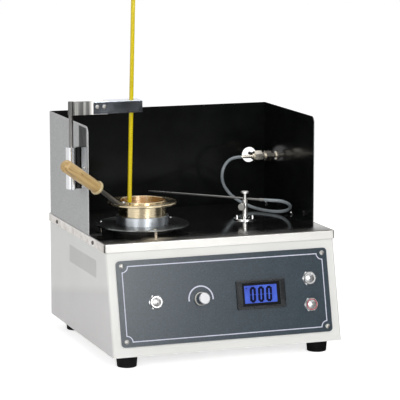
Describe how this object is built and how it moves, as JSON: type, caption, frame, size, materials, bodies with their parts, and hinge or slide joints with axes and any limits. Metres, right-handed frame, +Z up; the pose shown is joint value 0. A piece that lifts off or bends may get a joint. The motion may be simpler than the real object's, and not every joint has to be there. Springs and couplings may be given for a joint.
{
  "type": "open cup flash point tester",
  "caption": "Bench instrument with a heated open cup on a bright deck, a three-sided wind shield, a thermometer arm and a swinging gas applicator.",
  "frame": {"origin": "centre of the whole tester's bounding box in plan without its gas hose, on the bench surface", "axes": "+X to the operator's right, +Y from the sloped control panel to the back, +Z up; the feet rest on z = 0"},
  "size_m": [0.418, 0.3181, 0.498],
  "materials": {
    "black_gloss": "gloss black",
    "black_matte": "matte black",
    "board_green": "circuit board",
    "bright_steel": "turned and brushed steel",
    "bulb_glass": "glass over mercury-like filling",
    "case_paint": "semi-gloss off-white enamel",
    "collar_cream": "cream",
    "core_iron": "sand-cast, dark",
    "cup_brass": "turned brass, heat-tinted",
    "display_glass": "clear cover over a blue-lit display",
    "foot_rubber": "matte black rubber",
    "handle_wood": "lacquered",
    "hose_rubber": "translucent grey silicone",
    "panel_print": "satin slate with a fine speckle",
    "plated_steel": "nickel-plated steel",
    "polished_steel": "mirror-polished stainless sheet",
    "red_plastic": "gloss red",
    "shield_paint": "satin grey outside, gloss black inside",
    "thermometer_glass": "enamel-backed glass",
    "turned_aluminium": "turned on the face, satin"
  },
  "bodies": {
    "base": {"base_case": "case_paint", "bottom_plate": "case_paint", "rubber_feet": "foot_rubber", "foot_screws": "plated_steel", "deck_pan": "polished_steel", "case_screws": "plated_steel", "control_panel": "panel_print", "panel_screws": "plated_steel", "meter_bezel": "black_gloss", "meter_window": "display_glass", "meter_module": "black_matte", "potentiometer": "bright_steel", "button_housings": "plated_steel", "button_nuts": "plated_steel", "power_ring": "red_plastic", "heater_plate": "polished_steel", "plate_standoffs": "plated_steel", "plate_screws": "plated_steel", "heater_core": "core_iron", "cup_seat": "bright_steel", "wind_shield": "shield_paint", "shield_nuts": "plated_steel", "thermo_guide": "bright_steel", "guide_screws": "plated_steel", "applicator_base": "plated_steel", "applicator_screws": "plated_steel", "valve_body": "plated_steel", "valve_nuts": "plated_steel", "gas_hose_1": "hose_rubber", "mains_inlet": "black_matte", "inlet_pins": "bright_steel", "control_board": "board_green", "board_spacers": "plated_steel"},
    "heating_knob": {"heating_knob": "turned_aluminium", "knob_shaft": "bright_steel"},
    "mode_button": {"mode_button": "turned_aluminium"},
    "start_button": {"start_button": "turned_aluminium"},
    "power_button": {"power_button": "turned_aluminium"},
    "cup": {"oil_cup": "cup_brass", "cup_tang": "bright_steel", "tang_rivet": "bright_steel", "handle_collar": "collar_cream", "cup_handle": "handle_wood"},
    "thermo_rod": {"thermo_rod": "bright_steel"},
    "thermo_arm": {"thermo_arm": "bright_steel", "thermo_bracket": "bright_steel", "bracket_screws": "plated_steel", "thermometer_bush": "bright_steel"},
    "thermometer": {"thermometer_stem": "thermometer_glass", "thermometer_bulb": "bulb_glass"},
    "applicator_column": {"applicator_column": "plated_steel", "gas_hose_2": "hose_rubber"},
    "height_lock": {"height_lock": "plated_steel"},
    "applicator_spindle": {"applicator_spindle": "plated_steel"},
    "applicator_arm": {"applicator_arm": "plated_steel", "gas_hose_3": "hose_rubber"},
    "reach_lock": {"reach_lock": "plated_steel"},
    "valve_knob": {"valve_knob": "black_matte", "valve_stem": "bright_steel"}
  },
  "joints": [
    {"name": "heating_knob_turn", "type": "hinge", "parent": "base", "child": "heating_knob", "pos_m": [-0.0176, -0.1403, 0.08883], "axis": [0, -0.9725, 0.2327], "range_deg": [-135, 135]},
    {"name": "mode_press", "type": "slide", "parent": "base", "child": "mode_button", "axis": [0, 0.9725, -0.2327], "range_m": [0, 0.0025], "stiffness_N_per_m": 500},
    {"name": "start_press", "type": "slide", "parent": "base", "child": "start_button", "axis": [0, 0.9725, -0.2327], "range_m": [0, 0.0025], "stiffness_N_per_m": 500},
    {"name": "power_press", "type": "slide", "parent": "base", "child": "power_button", "axis": [0, 0.9725, -0.2327], "range_m": [0, 0.0025], "stiffness_N_per_m": 500},
    {"name": "cup_lift", "type": "slide", "parent": "base", "child": "cup", "axis": [0, 0, 1], "range_m": [0, 0.006]},
    {"name": "thermo_rod_lift", "type": "slide", "parent": "base", "child": "thermo_rod", "axis": [0, 0, 1], "range_m": [-0.003, 0.045]},
    {"name": "thermo_arm_swing", "type": "hinge", "parent": "thermo_rod", "child": "thermo_arm", "pos_m": [-0.1721, -0.04019, 0.3385], "axis": [0, 0, 1], "range_deg": [-7.5, 7.5]},
    {"name": "thermometer_lift", "type": "slide", "parent": "thermo_arm", "child": "thermometer", "axis": [0.0244, 0, 0.9997], "range_m": [-0.003, 0.06]},
    {"name": "applicator_sweep", "type": "hinge", "parent": "base", "child": "applicator_column", "pos_m": [0.1024, 0.00481, 0.198], "axis": [0, 0, 1], "range_deg": [-16, 36], "deforming": ["gas_hose_1"]},
    {"name": "height_lock_turn", "type": "hinge", "parent": "applicator_column", "child": "height_lock", "pos_m": [0.09643, -0.00081, 0.1893], "axis": [-0.7278, -0.6858, 0], "range_deg": [0, 270]},
    {"name": "applicator_height", "type": "slide", "parent": "applicator_column", "child": "applicator_spindle", "axis": [0, 0, 1], "range_m": [0, 0.016], "deforming": ["gas_hose_2"]},
    {"name": "applicator_reach", "type": "slide", "parent": "applicator_spindle", "child": "applicator_arm", "axis": [-0.7022, 0.712, 0], "range_m": [0, 0.014], "deforming": ["gas_hose_3"]},
    {"name": "reach_lock_turn", "type": "hinge", "parent": "applicator_spindle", "child": "reach_lock", "pos_m": [0.1024, 0.00481, 0.2076], "axis": [0, 0, 1], "range_deg": [0, 270]},
    {"name": "valve_turn", "type": "hinge", "parent": "base", "child": "valve_knob", "pos_m": [0.1954, 0.09381, 0.2476], "axis": [1, 0, 0], "range_deg": [0, 350]}
  ]
}
